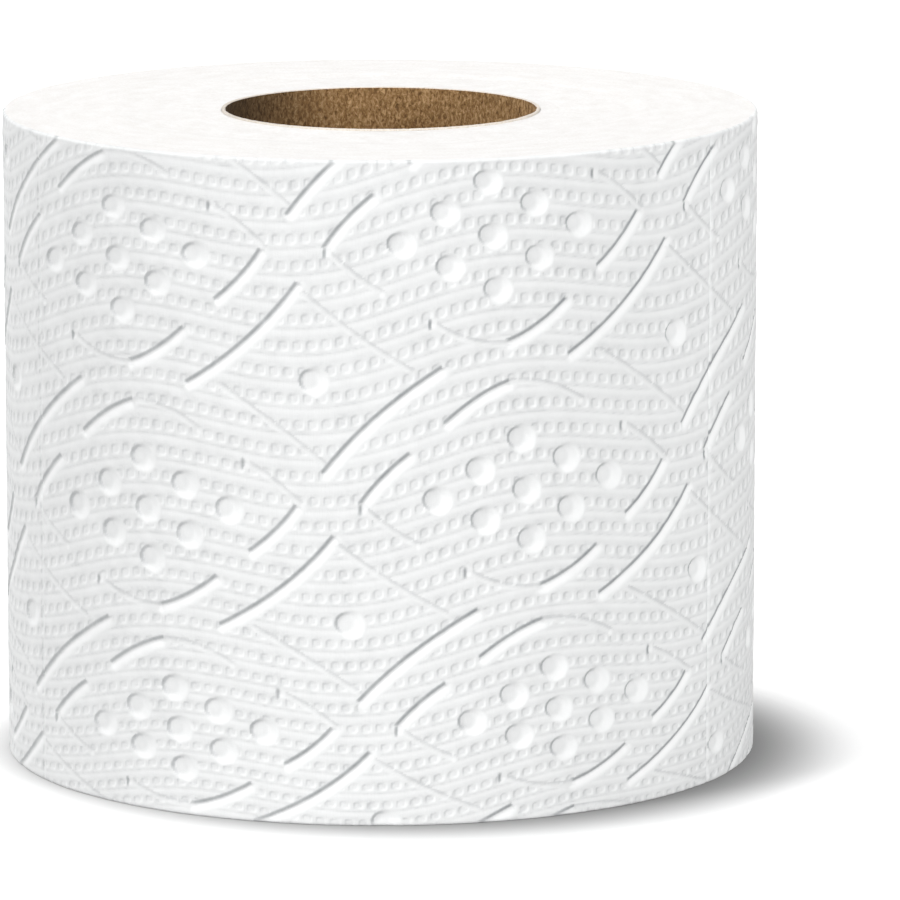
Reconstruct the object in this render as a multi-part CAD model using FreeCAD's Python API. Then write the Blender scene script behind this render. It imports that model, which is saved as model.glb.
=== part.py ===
import FreeCAD, Part
import math
import os

# A toilet paper roll standing on its end: one web of soft tissue wound on a cardboard core.
# Millimetres, +Z along the roll's axis, origin at the middle of the bottom end.
# The front of the roll faces -Y, and the free end of the web lies at the back.

# Driving dimensions of the roll and its core.
ROLL_HEIGHT = 98.0
ROLL_RADIUS = 57.0
CORE_BORE_RADIUS = 23.5
CORE_WALL = 0.6
GLUE_LINE = 0.05
WEB_THICKNESS = 0.33

# Sheets: the web was torn at the free end, and the next tear lines follow a sheet length apart.
SHEET_LENGTH = 120.5
TEAR_LINE_WIDTH = 0.5
TEAR_LINE_DEPTH = 0.2

# The bundle of turns round the core sits a little lower on the top end than the turns outside it.
INNER_TURNS = 45
INNER_TURNS_LOWER_BY = 0.3

# Embossing: medallions of dots and lines pressed into the web in leaning columns.
# Places are arc lengths from the front and rises from the centre of the top row's medallion.
COLUMN_PITCH = 59.15
COLUMN_RISE = 4.4
ROW_PITCH = 40.0
ROW_LEAN = 5.55
ROW_CROWDING = 0.00145
TOP_CENTRE_ALONG = 16.4
TOP_CENTRE_BELOW_END = 11.1
DOT_WIDTH = 2.3
DOT_DEPTH = 0.5
DOT_STEP_UP = (6.45, 4.7)
DOT_STEP_DOWN = (7.3, -3.6)
LINE_WIDTH = 1.3
LINE_DEPTH = 0.7
TAIL_MARGIN = 3.0
END_MARGIN = 1.2

# Pressed lines in the upper left half of a medallion, each by the points that it runs through.
# The lower right half is the same turned half round.
PRESSED_LINES = (
    ((-30.0, 2.9), (-22.3, 11.6), (-13.8, 18.2)),
    ((-25.0, -2.9), (-17.7, 5.4)),
    ((-11.8, 10.4), (-6.9, 14.3), (-1.5, 16.9)),
)

UP = FreeCAD.Vector(0, 0, 1)
HALF_TURN = math.pi * ROLL_RADIUS
CORE_RADIUS = CORE_BORE_RADIUS + CORE_WALL
WEB_BORE_RADIUS = CORE_RADIUS + GLUE_LINE
CUTTER_RISE = 0.5


def outer_turn_outline():
    """Four tangent arcs that close in by one web thickness, and the step at the free end."""
    shift = WEB_THICKNESS / 4
    centre = FreeCAD.Vector(shift / 2, -shift / 2, 0)
    edges = []
    for quarter in range(4):
        start = 90 + 90 * quarter
        end = start + 90
        edges.append(Part.makeCircle(ROLL_RADIUS - quarter * shift, centre, UP, start, end))
        toward = math.radians(end)
        centre = centre + FreeCAD.Vector(math.cos(toward), math.sin(toward), 0) * shift
    free_end = edges[0].Vertexes[0].Point
    under_it = edges[-1].Vertexes[-1].Point
    edges.append(Part.makeLine(under_it, free_end))
    return Part.Wire(edges)


def height_on_roll(rise):
    """Height on the roll for a rise in the flat pattern, whose rows crowd towards the bottom."""
    return ROLL_HEIGHT - TOP_CENTRE_BELOW_END + rise + ROW_CROWDING * rise * rise


def on_roll(place, centre):
    """A place of a medallion as arc length from the front and height on the roll."""
    return (centre[0] + place[0], height_on_roll(centre[1] + place[1]))


def pressing(outline, depth):
    """A straight cutter that presses an outline into the outer turn, with a flat floor."""
    middle = sum(along for along, height in outline) / len(outline)
    angle = middle / ROLL_RADIUS
    outward = FreeCAD.Vector(math.sin(angle), -math.cos(angle), 0)
    sideways = FreeCAD.Vector(math.cos(angle), math.sin(angle), 0)
    floor = []
    for along, height in outline:
        aside = ROLL_RADIUS * math.sin((along - middle) / ROLL_RADIUS)
        floor.append(outward * (ROLL_RADIUS - depth) + sideways * aside + UP * height)
    return Part.Face(Part.makePolygon(floor + floor[:1])).extrude(outward * (depth + CUTTER_RISE))


def dot_outline(place):
    """Outline of a dot, squared off."""
    along, height = place
    half = DOT_WIDTH / 2
    return [(along + x * half, height + y * half) for x, y in ((-1, -1), (1, -1), (1, 1), (-1, 1))]


def line_outline(places):
    """Outline of a pressed line: a band of one width that bends where the line does."""
    left = []
    right = []
    for n, (along, height) in enumerate(places):
        before = places[max(n - 1, 0)]
        after = places[min(n + 1, len(places) - 1)]
        half = LINE_WIDTH / 2 / math.dist(before, after)
        aside = ((before[1] - after[1]) * half, (after[0] - before[0]) * half)
        left.append((along + aside[0], height + aside[1]))
        right.append((along - aside[0], height - aside[1]))
    return left + right[::-1]


def medallion_centres():
    """Centres of the medallions round the outer turn, in the flat pattern."""
    columns = math.ceil(HALF_TURN / COLUMN_PITCH) + 1
    rows = math.ceil(ROLL_HEIGHT / ROW_PITCH) + 2
    centres = []
    for column in range(-columns, columns + 1):
        for row in range(-1, rows + 1):
            along = TOP_CENTRE_ALONG + column * COLUMN_PITCH + row * ROW_LEAN
            centres.append((along, column * COLUMN_RISE - row * ROW_PITCH))
    return centres


def is_pressed(places):
    """True for a dot or line that lies clear of the free end and shows between the ends."""
    clear = all(abs(along) < HALF_TURN - TAIL_MARGIN for along, height in places)
    highest = max(height for along, height in places)
    lowest = min(height for along, height in places)
    return clear and highest > END_MARGIN and lowest < ROLL_HEIGHT - END_MARGIN


def pressed_lines():
    """Pressings for the lines in both halves of every medallion."""
    pressings = []
    for centre in medallion_centres():
        for line in PRESSED_LINES:
            for turn in (1, -1):
                places = [on_roll((turn * x, turn * y), centre) for x, y in line]
                if is_pressed(places):
                    pressings.append(pressing(line_outline(places), LINE_DEPTH))
    return pressings


def pressed_dots():
    """Pressings for nine dots in each medallion and one in each gap between four of them."""
    spots = [((COLUMN_PITCH + ROW_LEAN) / 2, (COLUMN_RISE - ROW_PITCH) / 2)]
    for up in (-1, 0, 1):
        for down in (-1, 0, 1):
            along = up * DOT_STEP_UP[0] + down * DOT_STEP_DOWN[0]
            rise = up * DOT_STEP_UP[1] + down * DOT_STEP_DOWN[1]
            spots.append((along, rise))
    places = [on_roll(spot, centre) for centre in medallion_centres() for spot in spots]
    return [pressing(dot_outline(place), DOT_DEPTH) for place in places if is_pressed([place])]


def tear_lines():
    """Shallow scores from end to end where the sheets of the outer turn tear apart."""
    scores = []
    along = HALF_TURN - SHEET_LENGTH
    while along > TAIL_MARGIN - HALF_TURN:
        left = along - TEAR_LINE_WIDTH / 2
        right = along + TEAR_LINE_WIDTH / 2
        score = [(left, 0), (right, 0), (right, ROLL_HEIGHT), (left, ROLL_HEIGHT)]
        scores.append(pressing(score, TEAR_LINE_DEPTH))
        along -= SHEET_LENGTH
    return scores


def inner_turns_recess():
    """The shallow recess over the inner turns on the top end."""
    radius = WEB_BORE_RADIUS + INNER_TURNS * WEB_THICKNESS
    floor = FreeCAD.Vector(0, 0, ROLL_HEIGHT - INNER_TURNS_LOWER_BY)
    return Part.makeCylinder(radius, INNER_TURNS_LOWER_BY, floor)


def make_web():
    """The wound web with its embossing."""
    body = Part.Face(outer_turn_outline()).extrude(UP * ROLL_HEIGHT)
    bore = Part.makeCylinder(WEB_BORE_RADIUS, ROLL_HEIGHT)
    cuts = [bore, inner_turns_recess()] + tear_lines() + pressed_lines() + pressed_dots()
    return body.cut(cuts)


def make_core():
    """The cardboard core, sawn flush with the web at both ends."""
    tube = Part.makeCylinder(CORE_RADIUS, ROLL_HEIGHT)
    return tube.cut(Part.makeCylinder(CORE_BORE_RADIUS, ROLL_HEIGHT))


def main():
    """Write one STEP file for each piece."""
    os.makedirs("parts", exist_ok=True)
    make_web().exportStep("parts/paper_roll.step")
    make_core().exportStep("parts/core_tube.step")


main()
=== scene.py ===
"""The look of a toilet paper roll: embossed tissue wound on a cardboard core, on a pale floor."""

import logging
import math
from dataclasses import dataclass
from enum import Enum

import bpy
import numpy as np
from mathutils import Matrix, Vector


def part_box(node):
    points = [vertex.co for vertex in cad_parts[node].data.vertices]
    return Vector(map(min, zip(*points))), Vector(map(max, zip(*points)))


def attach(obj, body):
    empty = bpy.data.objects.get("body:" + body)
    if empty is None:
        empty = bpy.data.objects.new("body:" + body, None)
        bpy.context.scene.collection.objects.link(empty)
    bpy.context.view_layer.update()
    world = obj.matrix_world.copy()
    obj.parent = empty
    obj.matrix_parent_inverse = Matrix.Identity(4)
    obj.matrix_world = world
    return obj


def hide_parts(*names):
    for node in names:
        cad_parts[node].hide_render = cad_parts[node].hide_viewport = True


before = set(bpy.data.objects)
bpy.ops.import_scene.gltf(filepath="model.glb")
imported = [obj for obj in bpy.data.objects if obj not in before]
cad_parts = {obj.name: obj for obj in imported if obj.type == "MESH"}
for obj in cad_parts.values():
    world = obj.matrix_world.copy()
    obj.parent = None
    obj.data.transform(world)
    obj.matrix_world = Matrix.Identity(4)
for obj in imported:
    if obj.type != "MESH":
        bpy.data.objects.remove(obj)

log = logging.getLogger("roll")

MM = 0.001
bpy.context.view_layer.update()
WEB_LOW, WEB_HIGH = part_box("paper_roll")
CORE_LOW, CORE_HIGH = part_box("core_tube")

# Sizes in millimetres: those of the two solids, and the web's own.
ROLL_HEIGHT = WEB_HIGH[2] / MM
ROLL_RADIUS = (WEB_HIGH[1] - WEB_LOW[1]) / 2 / MM
CORE_RADIUS = (CORE_HIGH[0] - CORE_LOW[0]) / 2 / MM
CORE_WALL = 0.6
WEB_THICKNESS = 0.33
HALF_TURN = math.pi * ROLL_RADIUS
SHEET_LENGTH = 120.5
INNER_TURNS = 45
INNER_TURNS_LOWER_BY = 0.3


def linear(colour: str) -> tuple[float, float, float, float]:
    """Turn an sRGB hex colour into the linear colour that a shader takes.

    Args:
        colour: Six hex digits after a number sign.

    Returns:
        Red, green, blue and an alpha of 1.
    """
    shares = [int(colour[n : n + 2], 16) / 255 for n in (1, 3, 5)]
    parts = [s / 12.92 if s <= 0.04045 else ((s + 0.055) / 1.055) ** 2.4 for s in shares]
    return (parts[0], parts[1], parts[2], 1.0)


def smooth(share: np.ndarray) -> np.ndarray:
    """Ease a share from 0 to 1, flat at both ends.

    Args:
        share: Values that may run past 0 and 1.

    Returns:
        The eased values, held between 0 and 1.
    """
    held = np.clip(share, 0.0, 1.0)
    return held * held * (3.0 - 2.0 * held)


def band(offset: np.ndarray, half: float, edge: float = 1.4) -> np.ndarray:
    """Give a soft band: 1 along its middle, and 0 beyond its edge.

    Args:
        offset: Distances from its middle.
        half: Its half width.
        edge: How many half widths out it ends; it is full up to one less.

    Returns:
        Shares from 0 to 1.
    """
    return smooth(edge - np.abs(offset) / half)


def round_axis(radius: np.ndarray, turn: np.ndarray, height: np.ndarray) -> np.ndarray:
    """Give places round the axis, for radii, angles from the front and heights."""
    return np.stack([radius * np.sin(turn), -radius * np.cos(turn), height], axis=-1)


def add_node(
    tree: bpy.types.NodeTree,
    kind: str,
    settings: dict[str, object] | None = None,
    sockets: dict[str | int, object] | None = None,
) -> bpy.types.Node:
    """Add a node with its settings, numbers and links.

    Args:
        tree: The node tree that it goes into.
        kind: The node's type name.
        settings: Attributes of the node.
        sockets: For each input, a plain value or the output socket that feeds it.

    Returns:
        The new node.
    """
    node = tree.nodes.new(kind)
    for name, value in (settings or {}).items():
        setattr(node, name, value)
    for name, value in (sockets or {}).items():
        if isinstance(value, bpy.types.NodeSocket):
            tree.links.new(value, node.inputs[name])
        else:
            node.inputs[name].default_value = value
    return node


def add_math(
    tree: bpy.types.NodeTree, operation: str, *values: object, clamp: bool = False
) -> bpy.types.NodeSocket:
    """Add a sum.

    Args:
        tree: The node tree that it goes into.
        operation: What it does.
        values: Its numbers or output sockets, in order.
        clamp: Whether to hold the result between 0 and 1.

    Returns:
        The result's socket.
    """
    settings = {"operation": operation, "use_clamp": clamp}
    return add_node(tree, "ShaderNodeMath", settings, dict(enumerate(values))).outputs[0]


def add_noise(
    tree: bpy.types.NodeTree, place: bpy.types.NodeSocket, grain_mm: float, detail: float, **more: float
) -> bpy.types.NodeSocket:
    """Add a noise by the real size of its grain.

    Args:
        tree: The node tree that it goes into.
        place: Places in metres.
        grain_mm: The grain's size.
        detail: How many finer layers it has.
        more: Its other inputs by name.

    Returns:
        The value's socket.
    """
    sockets = {"Vector": place, "Scale": 1 / (grain_mm * MM), "Detail": detail, **more}
    return add_node(tree, "ShaderNodeTexNoise", sockets=sockets).outputs[0]


def add_bump(
    tree: bpy.types.NodeTree,
    height: bpy.types.NodeSocket,
    strength: float,
    depth_mm: float,
    under: bpy.types.NodeSocket | None = None,
) -> bpy.types.NodeSocket:
    """Add a fine unevenness to a surface.

    Args:
        tree: The node tree that it goes into.
        height: The heights, from 0 to 1.
        strength: How much of it shows.
        depth_mm: Its real depth.
        under: The coarser unevenness that it lies on.

    Returns:
        The normal's socket.
    """
    sockets = {"Strength": strength, "Distance": depth_mm * MM, "Height": height}
    if under is not None:
        sockets["Normal"] = under
    return add_node(tree, "ShaderNodeBump", sockets=sockets).outputs[0]


def add_ramp(
    tree: bpy.types.NodeTree,
    value: bpy.types.NodeSocket,
    colours: tuple[str, str, str],
    stops: tuple[float, float, float] = (0.0, 0.5, 1.0),
) -> bpy.types.NodeSocket:
    """Add a run of three colours.

    Args:
        tree: The node tree that it goes into.
        value: What it runs over.
        colours: The three colours in hex.
        stops: Where each of them is pure.

    Returns:
        The colour's socket.
    """
    ramp = add_node(tree, "ShaderNodeValToRGB", sockets={0: value})
    for element, n in zip(ramp.color_ramp.elements, (0, 2)):
        element.position = stops[n]
        element.color = linear(colours[n])
    ramp.color_ramp.elements.new(stops[1]).color = linear(colours[1])
    return ramp.outputs[0]


def start_material(name: str, roughness: float, ior: float, specular: float) -> bpy.types.Material:
    """Start a material with its plain surface.

    Args:
        name: The real material and how it was made.
        roughness: How matt it is.
        ior: Its index of refraction.
        specular: Its specular level.

    Returns:
        The new material.
    """
    material = bpy.data.materials.new(name)
    material.use_nodes = True
    inputs = material.node_tree.nodes["Principled BSDF"].inputs
    inputs["Roughness"].default_value = roughness
    inputs["IOR"].default_value = ior
    inputs["Specular IOR Level"].default_value = specular
    return material


def is_seen(tree: bpy.types.NodeTree) -> bpy.types.NodeSocket:
    """Give a socket that is 1 for rays from the camera, a mirror or glass, and else 0.

    Args:
        tree: The node tree that asks.

    Returns:
        The output socket.
    """
    path = add_node(tree, "ShaderNodeLightPath")
    seen = path.outputs["Is Camera Ray"]
    for kind in ("Is Glossy Ray", "Is Transmission Ray"):
        seen = add_math(tree, "MAXIMUM", seen, path.outputs[kind])
    return seen


@dataclass(frozen=True)
class Ripple:
    """Seeded unevenness: a sum of waves that run in all directions over a flat sheet."""

    seed: int
    size: float
    height: float
    waves: int = 14

    def __call__(self, across: np.ndarray, up: np.ndarray) -> np.ndarray:
        """Give the unevenness at places of the sheet.

        Args:
            across: Places along the sheet in millimetres.
            up: Places up the sheet in millimetres.

        Returns:
            Offsets in millimetres, mostly within plus or minus the height.
        """
        chance = np.random.default_rng(self.seed)
        total = np.zeros(np.broadcast(across, up).shape)
        for _ in range(self.waves):
            heading = chance.uniform(0, 2 * math.pi)
            number = 2 * math.pi / (self.size * chance.uniform(0.6, 1.8))
            start = chance.uniform(0, 2 * math.pi)
            total += np.sin(number * (across * math.cos(heading) + up * math.sin(heading)) + start)
        return total * self.height / math.sqrt(self.waves)


@dataclass(frozen=True)
class Stroke:
    """A pressed line: a steep upper left wall, and a floor that rises gently to the lower right.

    Its section is measured to the right of the line through its places.
    """

    places: tuple[tuple[float, float], ...]
    depth: float
    wall: float
    ramp: float
    # The painted shade along the steep wall and the painted highlight on the long slope, with their widths
    # and places.
    painted_shade: float
    painted_shade_half: float
    slope: float
    wall_at: float = -0.42
    painted_shade_at: float = -0.66
    ramp_from: float = -0.5
    painted_highlight_from: float = -0.25
    painted_highlight_to: float = -0.3
    cap: float = 0.4
    open_end: float = 1.3
    steps: int = 10

    def path(self) -> list[tuple[float, float]]:
        """Give points along the smooth curve through the stroke's places."""
        (x0, y0), (x1, y1), (x2, y2) = self.places
        bend_x = 2 * x1 - (x0 + x2) / 2
        bend_y = 2 * y1 - (y0 + y2) / 2
        points = []
        for n in range(self.steps + 1):
            t = n / self.steps
            a, b, c = (1 - t) ** 2, 2 * t * (1 - t), t * t
            points.append((a * x0 + b * bend_x + c * x2, a * y0 + b * bend_y + c * y2))
        return points


@dataclass
class Pressed:
    """The sheet as it is pressed: its depths, and tones from -1 for a painted highlight to 1 for painted
    shade.
    """

    depth: np.ndarray
    tone: np.ndarray
    reach: float = 12.0
    covering: float = 0.05

    def near(
        self, path: list[tuple[float, float]], along: np.ndarray, height: np.ndarray
    ) -> tuple[slice, slice] | None:
        """Give the part of the sheet that a pressing reaches.

        Args:
            path: The pressing's points.
            along: Arc lengths of the sheet's places, the same down each column.
            height: Heights of its places, the same along each row.

        Returns:
            The rows and columns, or None where it misses the sheet.
        """
        xs = [x for x, _ in path]
        ys = [y for _, y in path]
        wide = (along[0] > min(xs) - self.reach) & (along[0] < max(xs) + self.reach)
        tall = (height[:, 0] > min(ys) - self.reach) & (height[:, 0] < max(ys) + self.reach)
        columns, rows = np.flatnonzero(wide), np.flatnonzero(tall)
        if len(columns) == 0 or len(rows) == 0:
            return None
        return slice(rows[0], rows[-1] + 1), slice(columns[0], columns[-1] + 1)

    def add(self, area: tuple[slice, slice], depth: np.ndarray, tone: np.ndarray) -> None:
        """Press one shape into a part of the sheet, over what is there.

        Args:
            area: The rows and columns.
            depth: The shape's depths there.
            tone: Its tones there.
        """
        kept = self.tone[area] * (1 - np.clip(depth / self.covering + 3 * np.abs(tone), 0, 1))
        self.tone[area] = np.where(np.abs(tone) > np.abs(kept), tone, kept)
        self.depth[area] = np.maximum(self.depth[area], depth)


@dataclass(frozen=True)
class Embossing:
    """The pressed pattern: leaning columns of medallions over wavy rows of small squares."""

    # Where the medallions stand.
    column_pitch: float = 59.15
    column_rise: float = 4.4
    row_pitch: float = 40.0
    row_lean: float = 5.55
    crowding: float = 0.00145
    top_along: float = 16.4
    top_below_end: float = 11.1
    # Round dots, with painted light in their tones: painted shade on the steep wall, and a painted highlight
    # on the slope and the floor.
    dot_step_up: tuple[float, float] = (6.45, 4.7)
    dot_step_down: tuple[float, float] = (7.3, -3.6)
    dot_floor: float = 1.2
    dot_rim: float = 2.4
    dot_lean: tuple[float, float] = (0.9, -0.32)
    dot_facing: tuple[float, float] = (0.96, -0.28)
    dot_depth: float = 0.35
    dot_painted_shade: float = 0.7
    dot_painted_shade_out: float = 0.25
    dot_painted_shade_half: float = 0.24
    dot_painted_highlight: float = 0.85
    dot_floor_painted_highlight: float = 0.22
    # Small pits with painted shade and a painted highlight, and raised spots with a painted highlight, at
    # the ends of the fine strokes.
    tip_size: float = 0.45
    tip_depth: float = 0.15
    pit_half: float = 0.8
    pit_painted_shade: float = 0.85
    pit_painted_highlight: float = 0.5
    bump_depth: float = 0.05
    bump_painted_highlight: float = 0.7
    # Rows of small squares, with a channel between each two rows; their walls take painted shade and a
    # painted highlight.
    thread_pitch: float = 4.08
    thread_wave: float = 2.3
    square_pitch: float = 2.15
    square_stagger: float = 0.37
    square_half: float = 0.9
    square_wall: float = 0.4
    square_facing: tuple[float, float] = (0.93, -0.37)
    square_depth: float = 0.085
    square_painted_shade: float = 0.36
    square_painted_highlight: float = 0.8
    channel_half: float = 0.66
    channel_wall: float = 0.28
    channel_depth: float = 0.05
    channel_painted_shade: float = 0.16
    channel_painted_highlight: float = 0.3
    # Perforated tear lines.
    tear_half: float = 0.45
    tear_depth: float = 0.22
    slit_length: float = 1.7
    slit_pitch: float = 2.3
    slit_depth: float = 0.16
    slit_half: float = 0.3
    slit_ease: float = 0.35
    # The pattern is fainter at the rims and ends at the free end; its painted shade and highlight are a
    # little stronger to the right.
    rim_share: float = 0.45
    rim_width: float = 1.2
    free_end: float = 2.5
    painted_light_lean: float = 0.22
    # How far the soft web slid on the front and sides when it was wound and pressed. The amounts are
    # in millimetres at slide_reach from the front, and at the ends of the roll.
    slide_reach: float = 60.0
    slide_most: float = 75.0
    slide_end: float = 120.0
    slide_fade: float = 35.0
    draw_in: float = 1.9
    spread_out: float = 3.2
    slant: float = 0.3
    pull_up: float = 1.1
    rim_curl: float = 1.9
    side_sag: float = 0.8
    side_twist: float = 1.85
    side_curl: float = 2.5

    def strokes(self) -> tuple[Stroke, ...]:
        """Give the strokes in the upper left half of a medallion, the bold ones first."""
        # Bold and fine strokes, each with its painted shade and painted highlight.
        bold = dict(depth=0.27, wall=0.4, ramp=1.8, painted_shade=0.8, painted_shade_half=0.28, slope=1.0)
        fine = dict(depth=0.07, wall=0.3, ramp=0.7, painted_shade=0.23, painted_shade_half=0.22, slope=0.32)
        return (
            Stroke(((-30.3, 3.1), (-22.6, 11.9), (-12.8, 19.4)), **bold),
            Stroke(((-24.7, -1.9), (-21.6, 2.2), (-17.6, 6.0)), **bold),
            Stroke(((-12.1, 10.9), (-7.2, 14.7), (-2.6, 16.9)), **bold),
            Stroke(((-28.6, -8.8), (-20.4, -15.3), (-12.1, -20.8)), **fine),
            Stroke(((-24.8, -2.4), (-20.6, -6.1), (-16.4, -8.8)), **fine),
            Stroke(((-2.4, 17.0), (3.6, 16.2), (9.0, 13.4)), **fine),
        )

    def rise_at(self, height: np.ndarray) -> np.ndarray:
        """Give the rise in the flat pattern at heights on the roll."""
        below = height - (ROLL_HEIGHT - self.top_below_end)
        return (np.sqrt(1 + 4 * self.crowding * below) - 1) / (2 * self.crowding)

    def height_of(self, rise: float) -> float:
        """Give the height on the roll for a rise in the flat pattern."""
        return ROLL_HEIGHT - self.top_below_end + rise + self.crowding * rise * rise

    def centres(self) -> list[tuple[float, float]]:
        """Give the medallions' centres round the roll, in the flat pattern."""
        columns = math.ceil(HALF_TURN / self.column_pitch) + 1
        rows = math.ceil(ROLL_HEIGHT / self.row_pitch) + 2
        places = []
        for column in range(-columns, columns + 1):
            for row in range(-1, rows + 1):
                along = self.top_along + column * self.column_pitch + row * self.row_lean
                rise = column * self.column_rise - row * self.row_pitch
                places.append((along, rise))
        return places

    def front_share(self, along: np.ndarray) -> np.ndarray:
        """Give 1 over the front and sides, and 0 at the back."""
        return smooth((self.slide_end - np.abs(along)) / self.slide_fade)

    def slid_from(self, along: np.ndarray, height: np.ndarray) -> tuple[np.ndarray, np.ndarray]:
        """Give where places of the soft web lay before it slid, when it was wound and pressed.

        Args:
            along: Arc lengths from the front.
            height: Heights on the roll.

        Returns:
            Arc lengths and heights in the even pattern.
        """
        x = np.clip(along, -self.slide_most, self.slide_most) / self.slide_reach
        y = 2 * height / ROLL_HEIGHT - 1
        aside = self.spread_out * x**3 - self.draw_in * x + self.slant * y
        up = self.pull_up * y - self.rim_curl * y**3 - self.side_sag * x**4
        up += self.side_twist * x**3 * y**2 - self.side_curl * x**2 * y**3
        share = self.front_share(along)
        return along - share * aside, height - share * up

    def ground(self, along: np.ndarray, height: np.ndarray) -> tuple[np.ndarray, np.ndarray]:
        """Give the rows of small squares, and the channels between them.

        Args:
            along: Arc lengths in the even pattern.
            height: Heights in the even pattern.

        Returns:
            Depths in millimetres, and tones from -1 for a painted highlight to 1 for painted shade.
        """
        rise = self.rise_at(height)
        lean = self.row_lean / self.row_pitch
        column = (along - self.top_along + lean * rise) / (self.column_pitch + lean * self.column_rise)
        wave = self.column_rise * column + self.thread_wave * np.cos(2 * math.pi * column)
        thread = (rise - wave) / self.thread_pitch
        number = np.round(thread)
        up = (thread - number) * self.thread_pitch
        place = along / self.square_pitch + self.square_stagger * number
        aside = (place - np.round(place)) * self.square_pitch
        out = (np.abs(up) ** 4 + np.abs(aside) ** 4) ** 0.25
        square = self.square_depth * smooth((self.square_half - out) / self.square_wall)
        # Painted shade on the squares' upper left walls, and a painted highlight on their lower right ones.
        right, over = self.square_facing
        facing = (right * aside + over * up) / (np.hypot(aside, up) + 1e-9)
        wall = band(self.square_half - self.square_wall / 2 - out, self.square_wall / 2, 1.3)
        grey, highlight_mask = np.maximum(-facing, 0), np.maximum(facing, 0)
        tone = wall * (self.square_painted_shade * grey - self.square_painted_highlight * highlight_mask)
        # The channels take painted shade along their top edge and a painted highlight on their rise.
        between = (thread - np.floor(thread) - 0.5) * self.thread_pitch
        drop = smooth((self.channel_half - between) / self.channel_wall)
        climb = np.clip((between + self.channel_half) / (2 * self.channel_half), 0, 1)
        edge = self.channel_half - self.channel_wall / 2 - between
        tone += self.channel_painted_shade * band(edge, self.channel_wall / 2)
        tone -= self.channel_painted_highlight * drop * smooth(climb * 2)
        return np.maximum(square, self.channel_depth * drop * climb), tone

    def dot(self, x: np.ndarray, y: np.ndarray) -> tuple[np.ndarray, np.ndarray]:
        """Give one round dot: a flat floor, steep at the upper left and open to the lower right.

        Args:
            x: Distances to the right of its centre.
            y: Distances above its centre.

        Returns:
            Depths in millimetres, and tones of painted shade and painted highlight.
        """
        lean_x, lean_y = self.dot_lean[0] / 2, self.dot_lean[1] / 2
        to_rim = self.dot_rim - np.hypot(x - lean_x, y - lean_y)
        out = np.hypot(x + lean_x, y + lean_y)
        from_floor = out - self.dot_floor
        inside = np.maximum(to_rim, 0.0)
        outside = np.maximum(from_floor, 0.0)
        deep = self.dot_depth * smooth(inside / (inside + outside + 1e-9))
        right, over = self.dot_facing
        facing = (right * (x + lean_x) + over * (y + lean_y)) / (out + 1e-9)
        # Painted shade on the steep upper left wall, and a painted highlight on the open one at the lower
        # right and on the floor.
        grey, highlight_mask = np.maximum(-facing, 0.0) ** 0.8, np.maximum(facing, 0.0) ** 0.6
        painted_shade = band(from_floor - self.dot_painted_shade_out, self.dot_painted_shade_half) * grey
        slope = smooth((from_floor + 0.6) / 1.1) * smooth(to_rim / 0.6) * highlight_mask
        floor = self.dot_floor_painted_highlight * smooth(-from_floor / 0.9)
        return deep, self.dot_painted_shade * painted_shade - self.dot_painted_highlight * slope - floor

    def pit(self, x: np.ndarray, y: np.ndarray) -> tuple[np.ndarray, np.ndarray]:
        """Give the small pit where some of the fine strokes start, as depths and tones: painted shade on its
        left, a painted highlight on its right.
        """
        painted_shade = self.pit_painted_shade * band(x + 0.3, 0.28)
        slope = self.pit_painted_highlight * band(x - 0.35, 0.4)
        depth = self.tip_depth * band(np.hypot(x, y), self.tip_size)
        return depth, (painted_shade - slope) * band(y, self.pit_half)

    def bump(self, x: np.ndarray, y: np.ndarray) -> tuple[np.ndarray, np.ndarray]:
        """Give the small raised spot with a painted highlight at the free end of a fine stroke of the upper
        half.
        """
        spot = band(np.hypot(x, y), self.tip_size)
        return self.bump_depth * spot, -self.bump_painted_highlight * spot

    def line(
        self, along: np.ndarray, height: np.ndarray, stroke: Stroke, path: list[tuple[float, float]]
    ) -> tuple[np.ndarray, np.ndarray]:
        """Give one stroke on the roll.

        Args:
            along: Arc lengths from the front.
            height: Heights on the roll.
            stroke: The stroke's section.
            path: Its points on the roll, from left to right.

        Returns:
            Depths in millimetres, and tones of painted shade and painted highlight.
        """
        nearest = np.full(along.shape, 1e9)
        side = np.zeros(along.shape)
        beyond = np.zeros(along.shape)
        last = len(path) - 2
        for n, (start, end) in enumerate(zip(path[:-1], path[1:])):
            run = math.dist(start, end)
            ux, uy = (end[0] - start[0]) / run, (end[1] - start[1]) / run
            x, y = along - start[0], height - start[1]
            forward = x * ux + y * uy
            right = x * uy - y * ux
            over = np.maximum(np.maximum(-forward, forward - run), 0.0)
            away = np.hypot(over, right)
            closer = away < nearest
            nearest = np.where(closer, away, nearest)
            side = np.where(closer, right, side)
            open_end = ((n == 0) & (forward < 0)) | ((n == last) & (forward > run))
            beyond = np.where(closer, np.where(open_end, over, 0.0), beyond)
        cap = smooth(1.0 - beyond / stroke.cap)
        drop = smooth((side - stroke.wall_at + stroke.wall / 2) / stroke.wall)
        climb = np.clip((stroke.ramp + stroke.ramp_from - side) / stroke.ramp, 0, 1)
        # Painted shade along the steep upper left wall, and a painted highlight on the long slope to the
        # lower right.
        painted_shade = stroke.painted_shade * smooth((1.6 - np.abs(side - stroke.painted_shade_at) / stroke.painted_shade_half) / 1.4)
        to_edge = stroke.ramp + stroke.painted_highlight_to - side
        highlight_mask = smooth((side - stroke.painted_highlight_from) / 0.3) * smooth(to_edge / (stroke.ramp / 1.5))
        slope = stroke.slope * highlight_mask * smooth(1.0 - beyond / stroke.open_end)
        return stroke.depth * drop * climb * cap, painted_shade * cap - slope

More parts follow.
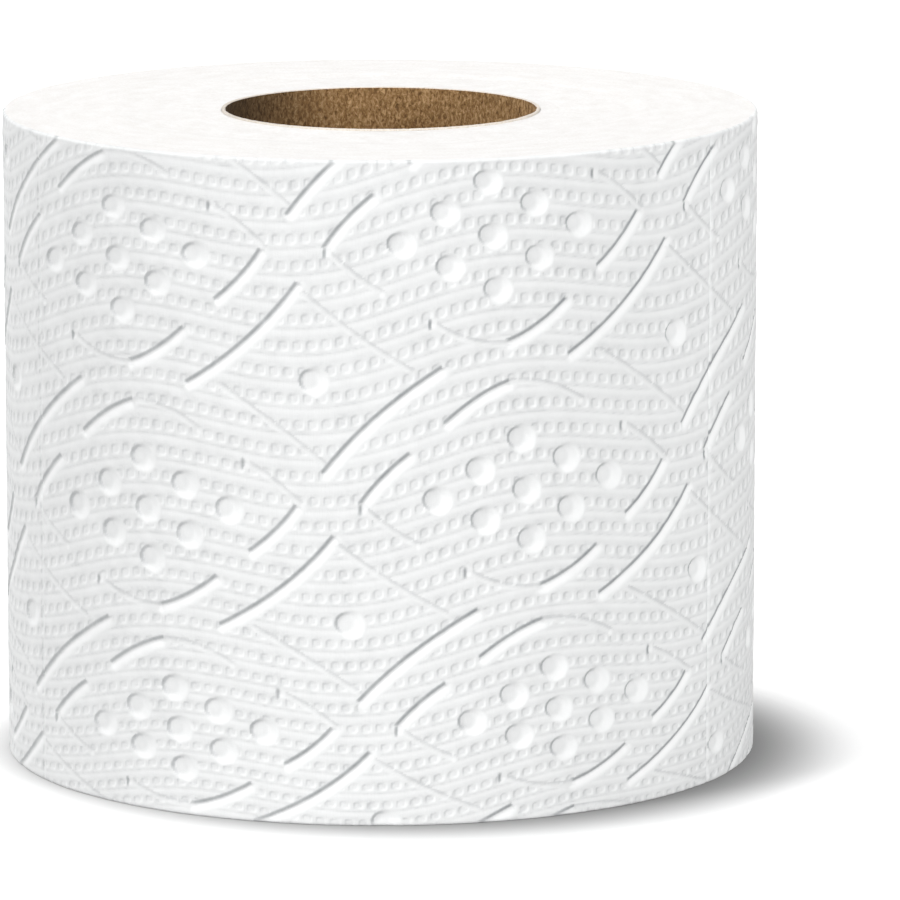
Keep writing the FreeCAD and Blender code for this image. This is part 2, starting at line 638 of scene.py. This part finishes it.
    def relief(self, along: np.ndarray, height: np.ndarray) -> tuple[np.ndarray, np.ndarray]:
        """Give the whole pattern at places of the outer turn, on an even grid.

        Args:
            along: Arc lengths from the front, the same down each column.
            height: Heights on the roll, the same along each row.

        Returns:
            Depths in millimetres, clear of the free end and fainter at the two ends; and painted light
            tones, which are 1 for painted shade on a steep wall, 0 for a painted highlight on a slope and
            0.5 where the sheet is flat.
        """
        over, level = self.slid_from(along, height)
        pressed = Pressed(*self.ground(over, level))
        low, high = float(along.min()), float(along.max())
        gap = ((self.column_pitch + self.row_lean) / 2, (self.column_rise - self.row_pitch) / 2)
        steps = (-1, 0, 1)
        (up_x, up_y), (down_x, down_y) = self.dot_step_up, self.dot_step_down
        dots = [(a * up_x + b * down_x, a * up_y + b * down_y) for a in steps for b in steps]
        dots.append(gap)
        bumps = [(-16.4, -8.8), (9.0, 13.4)]
        pits = [(-x, -y) for x, y in bumps] + [(-24.8, -2.5)]
        for centre in self.centres():
            if centre[0] < low - self.column_pitch or centre[0] > high + self.column_pitch:
                continue
            for stroke in self.strokes():
                for turn in (1, -1):
                    bend = [(turn * x, turn * y) for x, y in stroke.path()[::turn]]
                    path = [(centre[0] + x, self.height_of(centre[1] + y)) for x, y in bend]
                    area = pressed.near(path, along, height)
                    if area is not None:
                        pressed.add(area, *self.line(over[area], level[area], stroke, path))
            for shape, spots in ((self.dot, dots), (self.pit, pits), (self.bump, bumps)):
                for x, y in spots:
                    spot = (centre[0] + x, self.height_of(centre[1] + y))
                    area = pressed.near([spot], along, height)
                    if area is not None:
                        pressed.add(area, *shape(over[area] - spot[0], level[area] - spot[1]))
        # The painted shade and highlight grow a little stronger to the right.
        to_right = self.front_share(along) * np.clip(along / self.slide_reach, -1, 1)
        pattern = pressed.tone * (1 + self.painted_light_lean * to_right)
        depth, tone = self.tear_lines(along, height)
        pressed.depth = np.maximum(pressed.depth, depth)
        pressed.tone = np.clip(pattern + tone * np.clip(1 - 1.5 * np.abs(pattern), 0, 1), -1, 1)
        to_end = np.minimum(height, ROLL_HEIGHT - height)
        fade = self.rim_share + (1 - self.rim_share) * smooth(to_end / self.rim_width)
        fade = fade * smooth((HALF_TURN - np.abs(along)) / self.free_end)
        return pressed.depth * fade, 0.5 + 0.5 * pressed.tone * fade

    def tear_lines(self, along: np.ndarray, height: np.ndarray) -> tuple[np.ndarray, np.ndarray]:
        """Give the perforated tear lines: a faint fold with a row of short slits, with a painted highlight
        at its right edge and painted shade at its left.
        """
        depth = np.zeros(along.shape)
        tone = np.zeros(along.shape)
        for tear in (HALF_TURN - SHEET_LENGTH, HALF_TURN - 2 * SHEET_LENGTH):
            right = along - tear
            aside = np.abs(right)
            fold = self.tear_depth * band(aside, self.tear_half, 1.0)
            place = height / self.slit_pitch
            to_middle = np.abs(place - np.round(place)) * self.slit_pitch
            slit = smooth((self.slit_length / 2 - to_middle) / self.slit_ease)
            depth = np.maximum(depth, fold + self.slit_depth * slit * band(aside, self.slit_half, 1.0))
            # Painted highlight right of the fold, and painted shade left of it.
            highlight_mask = (0.35 + 0.55 * slit) * band(right - 0.15, 0.2)
            grey = (0.05 + 0.22 * slit) * band(right + 0.35, 0.18)
            tone += grey - highlight_mask
        return depth, tone


def lay_mesh(
    name: str, points: np.ndarray, joined: bool = False, tone: np.ndarray | None = None
) -> bpy.types.Object:
    """Make a smooth mesh of four-sided faces from rows of points.

    Args:
        name: The piece's name.
        points: Rows of columns of places in millimetres; rows run up and columns to the right.
        joined: Whether the last column joins the first.
        tone: The painted shade and highlight of each place, kept as the mesh's painted_light_tone.

    Returns:
        The new object, at the origin, with its place in its mesh.
    """
    rows, columns, _ = points.shape
    wide = columns if joined else columns - 1
    row = np.arange(rows - 1)[:, None] * columns
    left = np.arange(wide)[None, :]
    right = (left + 1) % columns
    corners = np.stack([row + left, row + right, row + columns + right, row + columns + left], axis=-1)
    faces = (rows - 1) * wide
    mesh = bpy.data.meshes.new(name)
    mesh.vertices.add(rows * columns)
    mesh.vertices.foreach_set("co", (points * MM).astype(np.float32).ravel())
    mesh.loops.add(faces * 4)
    mesh.loops.foreach_set("vertex_index", corners.astype(np.int32).ravel())
    mesh.polygons.add(faces)
    mesh.polygons.foreach_set("loop_start", np.arange(0, faces * 4, 4, dtype=np.int32))
    mesh.polygons.foreach_set("use_smooth", np.ones(faces, dtype=bool))
    across = np.stack([left, left + 1, left + 1, left], axis=-1) / wide
    up_low = np.arange(rows - 1)[:, None] / (rows - 1)
    up_high = np.arange(1, rows)[:, None] / (rows - 1)
    up = np.stack([up_low, up_low, up_high, up_high], axis=-1)
    flat = np.empty((rows - 1, wide, 4, 2), dtype=np.float32)
    flat[..., 0] = across
    flat[..., 1] = up
    mesh.update(calc_edges=True)
    layer = mesh.uv_layers.new(name="OFBake")
    layer.uv.foreach_set("vector", flat.ravel())
    if tone is not None:
        kept = mesh.attributes.new("painted_light_tone", "FLOAT", "POINT")
        kept.data.foreach_set("value", tone.astype(np.float32).ravel())
    mesh.validate()
    piece = bpy.data.objects.new(name, mesh)
    bpy.context.scene.collection.objects.link(piece)
    return piece


def dress(piece: bpy.types.Object, material: bpy.types.Material, node: str) -> None:
    """Give a piece its material, and tell the frame what it stands for.

    Args:
        piece: The new piece.
        material: Its finish.
        node: The solid that it replaces.
    """
    piece.data.materials.append(material)
    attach(piece, "root")
    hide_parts(node)
    log.info("%s: %d faces, %s", piece.name, len(piece.data.polygons), material.name)


@dataclass(frozen=True)
class CrepedTissue:
    """Soft two-ply tissue, creped and embossed: matt, a little cool, with a fine fibrous tooth."""

    # The painted highlight on slopes, the tissue's own colour, and the painted shade on steep walls.
    slope: str = "#FCFDFD"
    colour: str = "#E8E9E9"
    painted_shade: str = "#94979A"
    roughness: float = 0.95
    ior: float = 1.47
    specular: float = 0.2
    crepe_mm: float = 0.35
    fibre_mm: float = 0.16
    cloud_mm: float = 4.0

    def make(self) -> bpy.types.Material:
        """Make the material."""
        material = start_material("creped_tissue_embossed", self.roughness, self.ior, self.specular)
        tree = material.node_tree
        surface = tree.nodes["Principled BSDF"]
        surface.inputs["Sheen Weight"].default_value = 0.08
        surface.inputs["Sheen Roughness"].default_value = 0.6
        place = add_node(tree, "ShaderNodeTexCoord").outputs["Object"]
        # Creping leaves fine ridges along the axis: drawn about twice as coarse, to show.
        stretched = add_node(tree, "ShaderNodeMapping", sockets={"Vector": place, "Scale": (1.0, 1.0, 0.12)})
        crepe = add_noise(tree, stretched.outputs[0], self.crepe_mm, 2.0)
        fibre = add_noise(tree, place, self.fibre_mm, 3.0)
        cloud = add_noise(tree, place, self.cloud_mm, 6.0, Roughness=0.8)
        # Painted light from the relief: painted shade on the steep walls and a painted highlight on the long
        # slopes, as if lit from the upper left.
        pressed = add_node(tree, "ShaderNodeAttribute", {"attribute_name": "painted_light_tone"})
        uneven = add_math(tree, "MULTIPLY_ADD", cloud, 0.4, -0.2)
        mixed = add_math(tree, "ADD", pressed.outputs["Fac"], uneven, clamp=True)
        tone = add_ramp(tree, mixed, (self.slope, self.colour, self.painted_shade))
        tree.links.new(tone, surface.inputs["Base Color"])
        tooth = add_bump(tree, fibre, 0.5, 0.05, under=add_bump(tree, crepe, 0.5, 0.07))
        tree.links.new(tooth, surface.inputs["Normal"])
        return material


@dataclass(frozen=True)
class CutTissue:
    """The sawn ends of the turns: warmer than the face, soft, with the turns as faint streaks."""

    colour: str = "#F3F2F1"
    shade: str = "#E7E4E1"
    roughness: float = 1.0
    ior: float = 1.47
    specular: float = 0.15
    grain_mm: float = 0.5

    def make(self) -> bpy.types.Material:
        """Make the material."""
        material = start_material("sawn_tissue_ends", self.roughness, self.ior, self.specular)
        tree = material.node_tree
        surface = tree.nodes["Principled BSDF"]
        place = add_node(tree, "ShaderNodeTexCoord").outputs["Object"]
        parts = add_node(tree, "ShaderNodeSeparateXYZ", sockets={0: place})
        radius = add_node(tree, "ShaderNodeVectorMath", {"operation": "LENGTH"}, {0: place})
        angle = add_math(tree, "ARCTAN2", parts.outputs[1], parts.outputs[0])
        # A turn is 0.33 mm: the streaks are three turns wide, so that they show at all.
        turns = add_node(
            tree,
            "ShaderNodeCombineXYZ",
            sockets={0: radius.outputs["Value"], 1: angle, 2: parts.outputs[2]},
        )
        wide = add_node(
            tree,
            "ShaderNodeMapping",
            sockets={"Vector": turns.outputs[0], "Scale": (1 / (3 * WEB_THICKNESS * MM), 9.0, 60.0)},
        )
        streak = add_node(
            tree,
            "ShaderNodeTexNoise",
            sockets={"Vector": wide.outputs[0], "Scale": 1.0, "Detail": 3.0},
        )
        grain = add_noise(tree, place, self.grain_mm, 3.0)
        rough = add_math(tree, "MULTIPLY_ADD", grain, 1.4, -0.7)
        blend = add_math(tree, "MULTIPLY_ADD", streak.outputs[0], 1.2, rough, clamp=True)
        tone = add_node(
            tree,
            "ShaderNodeMix",
            {"data_type": "RGBA"},
            {0: blend, 6: linear(self.shade), 7: linear(self.colour)},
        )
        tree.links.new(tone.outputs[2], surface.inputs["Base Color"])
        tree.links.new(add_bump(tree, grain, 0.6, 0.1), surface.inputs["Normal"])
        return material


@dataclass(frozen=True)
class CoreBoard:
    """Grey-brown recycled board, rolled from plies: matt, mottled by short fibres of many tones."""

    name: str = "recycled_core_board"
    light: str = "#E2BE8E"
    middle: str = "#A27D51"
    dark: str = "#4A321B"
    roughness: float = 0.85
    ior: float = 1.5
    specular: float = 0.25
    mottle_mm: float = 0.42
    fibre_mm: float = 0.22
    bump_mm: float = 0.45
    fibre_bump_mm: float = 0.15
    # Painted shade, darker towards the left of the tube.
    painted_shade_level: float = 0.15
    painted_shade_span_mm: tuple[float, float] = (-24.0, -4.0)

    def make(self) -> bpy.types.Material:
        """Make the material."""
        material = start_material(self.name, self.roughness, self.ior, self.specular)
        tree = material.node_tree
        surface = tree.nodes["Principled BSDF"]
        place = add_node(tree, "ShaderNodeTexCoord").outputs["Object"]
        # The fibres lie mostly along the winding, so the mottle leans.
        leaning = add_node(
            tree,
            "ShaderNodeMapping",
            sockets={"Vector": place, "Rotation": (0.0, 0.6, 0.0), "Scale": (1.0, 1.0, 0.55)},
        )
        lying = leaning.outputs[0]
        mottle = add_noise(tree, lying, self.mottle_mm, 5.0, Roughness=0.68, Distortion=0.6)
        fibre = add_noise(tree, place, self.fibre_mm, 2.0)
        tone = add_ramp(tree, mottle, (self.dark, self.middle, self.light), (0.3, 0.5, 0.72))
        # Painted shade: the board is darker towards its left (-x) side.
        parts = add_node(tree, "ShaderNodeSeparateXYZ", sockets={0: place})
        side = add_node(
            tree,
            "ShaderNodeMapRange",
            {"interpolation_type": "SMOOTHSTEP"},
            {
                0: parts.outputs[0],
                1: self.painted_shade_span_mm[0] * MM,
                2: self.painted_shade_span_mm[1] * MM,
                3: self.painted_shade_level,
                4: 1.0,
            },
        )
        shaded_board = add_node(
            tree,
            "ShaderNodeVectorMath",
            {"operation": "SCALE"},
            {0: tone, "Scale": side.outputs[0]},
        )
        tree.links.new(shaded_board.outputs[0], surface.inputs["Base Color"])
        coarse = add_bump(tree, mottle, 0.6, self.bump_mm)
        fine = add_bump(tree, fibre, 0.7, self.fibre_bump_mm, under=coarse)
        tree.links.new(fine, surface.inputs["Normal"])
        return material


@dataclass(frozen=True)
class StudioWhite:
    """Matt white paper sweep: it takes the roll's shadow and a painted contact shadow round its foot, and is
    plain white elsewhere.
    """

    colour: str = "#E7E7E7"
    bounce: str = "#B8B8B8"
    lift: float = 0.39
    # The painted contact shadow: its darkest level, its centre and its radii.
    contact: float = 0.24
    contact_at: tuple[float, float] = (4.0, -1.5)
    contact_mm: tuple[float, float] = (51.0, 71.5)

    def make(self) -> bpy.types.Material:
        """Make the material: white where it is seen, greyer where it lights the roll from below."""
        material = start_material("matt_white_sweep", 1.0, 1.5, 0.0)
        tree = material.node_tree
        grey = tree.nodes["Principled BSDF"]
        grey.inputs["Base Color"].default_value = linear(self.bounce)
        # A painted soft contact shadow round the roll's foot, a little wider to the right and front.
        place = add_node(tree, "ShaderNodeTexCoord").outputs["Object"]
        shift = (-self.contact_at[0] * MM, -self.contact_at[1] * MM, 0.0)
        from_foot = add_node(tree, "ShaderNodeVectorMath", sockets={0: place, 1: shift})
        out = add_node(tree, "ShaderNodeVectorMath", {"operation": "LENGTH"}, {0: from_foot.outputs[0]})
        ring = add_node(
            tree,
            "ShaderNodeMapRange",
            {"interpolation_type": "SMOOTHSTEP"},
            {
                0: out.outputs["Value"],
                1: self.contact_mm[0] * MM,
                2: self.contact_mm[1] * MM,
                3: self.contact,
                4: 1.0,
            },
        )
        shade = add_node(
            tree,
            "ShaderNodeVectorMath",
            {"operation": "SCALE"},
            {0: linear(self.colour)[:3], "Scale": ring.outputs[0]},
        )
        white = add_node(tree, "ShaderNodeBsdfDiffuse", sockets={"Color": shade.outputs[0]})
        lift = add_math(tree, "MULTIPLY", ring.outputs[0], self.lift)
        glow = add_node(tree, "ShaderNodeEmission", sockets={"Strength": lift})
        seen_white = add_node(
            tree,
            "ShaderNodeAddShader",
            sockets={0: white.outputs[0], 1: glow.outputs[0]},
        )
        sweep = add_node(
            tree,
            "ShaderNodeMixShader",
            sockets={0: is_seen(tree), 1: grey.outputs[0], 2: seen_white.outputs[0]},
        )
        tree.links.new(sweep.outputs[0], tree.nodes["Material Output"].inputs["Surface"])
        return material


class Sheet(Enum):
    """The sheets of the outer turn, split at its tear lines and free end, the front one in halves."""

    LEFT = "outer_turn_left_sheet"
    FRONT_LEFT = "outer_turn_front_sheet_left"
    FRONT_RIGHT = "outer_turn_front_sheet_right"
    RIGHT = "outer_turn_right_sheet"


@dataclass
class OuterTurn:
    """The outermost turn of the web, with its embossing as real relief."""

    embossing: Embossing
    fine_step: float = 0.25
    plain_step: float = 0.36
    rim_round: float = 0.4
    tuck: float = 0.5
    tuck_height: float = 0.25
    swell: float = 0.2

    def span(self, sheet: Sheet) -> tuple[float, float]:
        """Give where a sheet starts and ends, as arc lengths from the front."""
        first = HALF_TURN - 2 * SHEET_LENGTH
        second = HALF_TURN - SHEET_LENGTH
        middle = (first + second) / 2
        return {
            Sheet.LEFT: (-HALF_TURN, first),
            Sheet.FRONT_LEFT: (first, middle),
            Sheet.FRONT_RIGHT: (middle, second),
            Sheet.RIGHT: (second, HALF_TURN),
        }[sheet]

    def radius(self, along: np.ndarray) -> np.ndarray:
        """Give the scroll's radius, which closes in by one web thickness round the turn."""
        return ROLL_RADIUS + self.swell - WEB_THICKNESS * (along + HALF_TURN) / (2 * HALF_TURN)

    def uneven(self, along: np.ndarray, height: np.ndarray) -> np.ndarray:
        """Give the slight unevenness of the soft roll under its outer turn."""
        return Ripple(11, 14.0, 0.035)(along, height) + Ripple(12, 3.2, 0.02)(along, height)

    def build(self, sheet: Sheet) -> bpy.types.Object:
        """Build one sheet with its rounded rims.

        Args:
            sheet: Which of them.

        Returns:
            The new piece.
        """
        start, end = self.span(sheet)
        step = self.plain_step if sheet in (Sheet.LEFT, Sheet.RIGHT) else self.fine_step
        count = round((end - start) / step)
        across = np.linspace(start, end, count + 1)
        rows = round((ROLL_HEIGHT - 2 * self.rim_round) / step)
        up = np.linspace(self.rim_round, ROLL_HEIGHT - self.rim_round, rows + 1)
        along, height = np.meshgrid(across, up)
        depth, tone = self.embossing.relief(along, height)
        radius = self.radius(along) - depth + self.uneven(along, height)
        rim = [(self.rim_round + self.tuck, self.tuck_height)]
        for angle in np.radians([90, 60, 30]):
            rim.append((self.rim_round * (1 - math.cos(angle)), self.rim_round * (1 - math.sin(angle))))
        inset, rise = np.array(rim).T[:, :, None]
        rise = rise * np.ones_like(across)
        radius = np.vstack([radius[0] - inset, radius, radius[-1] - inset[::-1]])
        height = np.vstack([rise, height, ROLL_HEIGHT - rise[::-1]])
        along = np.broadcast_to(across, radius.shape)
        tone = np.pad(tone, ((len(rim), len(rim)), (0, 0)), mode="edge")
        # The free end shows the web's thickness.
        if sheet is Sheet.LEFT:
            tone = np.pad(tone, ((0, 0), (1, 0)), mode="edge")
            edge = radius[:, :1] - WEB_THICKNESS
            radius = np.hstack([edge, radius])
            height = np.hstack([height[:, :1], height])
            along = np.hstack([along[:, :1], along])
        return lay_mesh(sheet.value, round_axis(radius, along / ROLL_RADIUS, height), tone=tone)


class End(Enum):
    """The two ends of the wound web."""

    TOP = "wound_end_top"
    BOTTOM = "wound_end_bottom"


@dataclass
class WoundEnd:
    """One end of the wound web: a spiral of ridges, one for each turn."""

    outer: OuterTurn
    places_round: int = 300
    ridge: float = 0.05
    uneven: float = 0.05
    step_spread: float = 0.35
    inset_turns: float = 7.0
    rim_turns: float = 3.0
    bundle_ease: float = 4.0

    def build(self, end: End) -> bpy.types.Object:
        """Build one end.

        Args:
            end: Which end.

        Returns:
            The new piece.
        """
        inner = CORE_RADIUS + 0.02
        turns = math.ceil((ROLL_RADIUS - inner) / WEB_THICKNESS) + 1
        half_turns = np.arange(2 * turns + 1)
        places = self.places_round if end is End.TOP else self.places_round // 2
        along = np.linspace(-HALF_TURN, HALF_TURN, places + 1)[None, :]
        inward = half_turns[:, None] / 2 + (along + HALF_TURN) / (2 * HALF_TURN)
        rim_height = ROLL_HEIGHT - self.outer.rim_round if end is End.TOP else self.outer.rim_round
        level = np.full(along.shape, rim_height)
        rim = self.outer.embossing.relief(along, level)[0] - self.outer.uneven(along, level)
        inset = self.outer.rim_round - self.outer.swell + rim
        inset = inset * np.clip(1 - inward / self.inset_turns, 0, 1)
        radius = np.maximum(ROLL_RADIUS - WEB_THICKNESS * inward - inset, inner)
        chance = np.random.default_rng(5 if end is End.TOP else 6)
        steps = chance.normal(0, self.step_spread, 2 * turns + 3)
        steps = np.convolve(steps, [0.25, 0.5, 0.25], "same")
        lift = np.interp(inward, np.arange(len(steps)) / 2, steps)
        sway = Ripple(21, 9.0, 0.5)(inward * 1.4, along * radius / ROLL_RADIUS * 0.35)
        valley = (half_turns % 2)[:, None] * self.ridge
        bundle = inner + INNER_TURNS * WEB_THICKNESS
        lower = INNER_TURNS_LOWER_BY * smooth((bundle - radius) / self.bundle_ease + 0.5)
        near_rim = smooth(inward / self.rim_turns)
        hollow = near_rim * (valley + self.uneven * np.abs(lift + sway))
        height = ROLL_HEIGHT - hollow - lower if end is End.TOP else hollow
        points = round_axis(radius, along / ROLL_RADIUS, height)
        return lay_mesh(end.value, points if end is End.TOP else points[::-1])


@dataclass
class CoreTube:
    """The cardboard core: a thin tube of spirally wound board with soft sawn edges."""

    wall: float = CORE_WALL
    places_round: int = 260
    step_down: float = 1.0
    seam_pitch: float = 118.0
    seam_from: float = 60.0
    seam_step: float = 0.12
    seam_ease: float = 0.8
    edge_down: float = 0.15
    edge_soft: float = 0.05
    outer_soft: float = 0.06
    outer_down: float = 0.8

    def build(self) -> tuple[bpy.types.Object, bpy.types.Object, bpy.types.Object]:
        """Build the tube's bore, and its top and bottom edges as pieces of their own."""
        bore = CORE_RADIUS - self.wall
        turn = np.linspace(0, 2 * math.pi, self.places_round, endpoint=False)
        rows = round(ROLL_HEIGHT / self.step_down)
        down = np.linspace(self.edge_down, ROLL_HEIGHT - self.edge_down, rows + 1)
        around, height = np.meshgrid(turn, down)
        wrapped = around * bore
        lean = (around / (2 * math.pi) - (height - self.seam_from) / self.seam_pitch) % 1.0
        edge = smooth(lean * 2 * math.pi * bore / self.seam_ease) * (1 - lean)
        uneven = Ripple(31, 5.0, 0.03)(wrapped, height) + Ripple(32, 1.6, 0.025)(wrapped, height)
        radius = bore + uneven - self.seam_step * edge + self.seam_step / 2
        inside = round_axis(radius, turn, height)
        pieces = [lay_mesh("core_tube_bore", inside[:, ::-1], joined=True)]
        fuzz = np.abs(Ripple(33, 1.1, 0.03)(turn * bore, np.zeros_like(turn)))
        for name, level, into, rim in (
            ("core_tube_top_edge", ROLL_HEIGHT, -1, radius[-1]),
            ("core_tube_bottom_edge", 0.0, 1, radius[0]),
        ):
            profile = [
                (rim, self.edge_down),
                (rim + self.edge_soft, self.edge_soft + fuzz),
                (bore + self.wall / 2, fuzz),
                (CORE_RADIUS - self.outer_soft, self.edge_soft + fuzz),
                (CORE_RADIUS, self.outer_down),
            ]
            rings = np.stack([np.broadcast_to(out, turn.shape) for out, _ in profile])
            levels = np.stack([level + into * np.broadcast_to(deep, turn.shape) for _, deep in profile])
            points = round_axis(rings, turn, levels)[:, ::into]
            pieces.append(lay_mesh(name, points, joined=True))
        return tuple(pieces)


@dataclass
class Lamp:
    """One even, distant lamp."""

    name: str
    azimuth: float
    elevation: float
    strength: float
    softness: float

    def build(self) -> None:
        """Hang the lamp; azimuth 0 is the front, and positive is to the right."""
        light = bpy.data.lights.new(self.name, "SUN")
        light.energy = self.strength * math.pi
        light.angle = math.radians(self.softness)
        lamp = bpy.data.objects.new(self.name, light)
        bpy.context.scene.collection.objects.link(lamp)
        across, up = math.radians(self.azimuth), math.radians(self.elevation)
        toward = Vector((math.sin(across) * math.cos(up), -math.cos(across) * math.cos(up), math.sin(up)))
        lamp.matrix_world = Matrix.Translation(toward) @ toward.to_track_quat("Z", "Y").to_matrix().to_4x4()


@dataclass
class Studio:
    """The white sweep, the lamps, the surrounding light and the camera."""

    sky: float = 0.285
    floor_half: float = 6.0
    distance: float = 1111.3
    elevation: float = 10.24
    lens: float = 291.8
    aim_right: float = 0.5483
    aim_down: float = 0.187

    def lamps(self) -> tuple[Lamp, ...]:
        """Give the lamps: one overhead, soft ones high at the left, front and right, and low fills."""
        return (
            Lamp("overhead", -120.0, 77.0, 0.25, 16.0),
            Lamp("high_left", -58.0, 50.0, 0.33, 12.0),
            Lamp("high_front", 25.0, 60.0, 0.07, 12.0),
            Lamp("high_right", 45.0, 50.0, 0.16, 12.0),
            Lamp("left_fill", -62.0, 12.0, 0.28, 30.0),
            Lamp("front_fill", 34.0, 12.0, 0.2, 30.0),
            Lamp("right_fill", 44.0, 12.0, 0.24, 30.0),
            Lamp("back_fill", -165.0, 12.0, 0.16, 30.0),
        )

    def build(self) -> None:
        """Build the studio."""
        for lamp in self.lamps():
            lamp.build()
        self.surround()
        self.floor()
        self.camera()

    def floor(self) -> None:
        """Lay the floor just under the roll."""
        half = self.floor_half
        mesh = bpy.data.meshes.new("white_sweep")
        corners = [(-half, -half, 0.0), (half, -half, 0.0), (half, half, 0.0), (-half, half, 0.0)]
        mesh.from_pydata(corners, [], [(0, 1, 2, 3)])
        floor = bpy.data.objects.new("white_sweep", mesh)
        bpy.context.scene.collection.objects.link(floor)
        mesh.materials.append(StudioWhite().make())

    def surround(self) -> None:
        """Light the room evenly; it looks plain white."""
        world = bpy.data.worlds.new("white_room")
        world.use_nodes = True
        bpy.context.scene.world = world
        tree = world.node_tree
        strength = add_node(tree, "ShaderNodeMapRange", sockets={0: is_seen(tree), 3: self.sky, 4: 1.0})
        room = tree.nodes["Background"]
        room.inputs["Color"].default_value = (1.0, 1.0, 1.0, 1.0)
        tree.links.new(strength.outputs[0], room.inputs["Strength"])

    def camera(self) -> None:
        """Set the long lens in front of the roll, turned a little right and down of its middle."""
        data = bpy.data.cameras.new("camera")
        data.lens = self.lens
        data.sensor_width = 36.0
        data.clip_end = 50.0
        up = math.radians(self.elevation)
        middle = Vector((0.0, 0.0, ROLL_HEIGHT / 2 * MM))
        back = Vector((0.0, -math.cos(up), math.sin(up))) * self.distance * MM
        turn = Matrix.Rotation(math.radians(-self.aim_right), 4, "Z")
        tilt = Matrix.Rotation(math.radians(90 - self.elevation - self.aim_down), 4, "X")
        camera = bpy.data.objects.new("camera", data)
        camera.matrix_world = Matrix.Translation(middle + back) @ turn @ tilt
        bpy.context.scene.collection.objects.link(camera)
        bpy.context.scene.camera = camera


def main() -> None:
    """Build the roll, its core and the studio."""
    logging.basicConfig(level=logging.INFO, format="%(name)s: %(message)s")
    bpy.context.scene.view_settings.view_transform = "Standard"
    tissue = CrepedTissue().make()
    cut = CutTissue().make()
    outer = OuterTurn(Embossing())
    for sheet in Sheet:
        dress(outer.build(sheet), tissue, "paper_roll")
    wound = WoundEnd(outer)
    for end in End:
        dress(wound.build(end), cut, "paper_roll")
    board = CoreBoard().make()
    # The sawn edge takes only a little of the painted shade.
    edge = CoreBoard("sawn_core_board_edge", "#F1EBE3", "#E9E0D5", "#D8CAB9", painted_shade_level=0.9).make()
    walls, top_edge, bottom_edge = CoreTube().build()
    dress(walls, board, "core_tube")
    dress(top_edge, edge, "core_tube")
    dress(bottom_edge, edge, "core_tube")
    Studio().build()


if __name__ == "__main__":
    main()
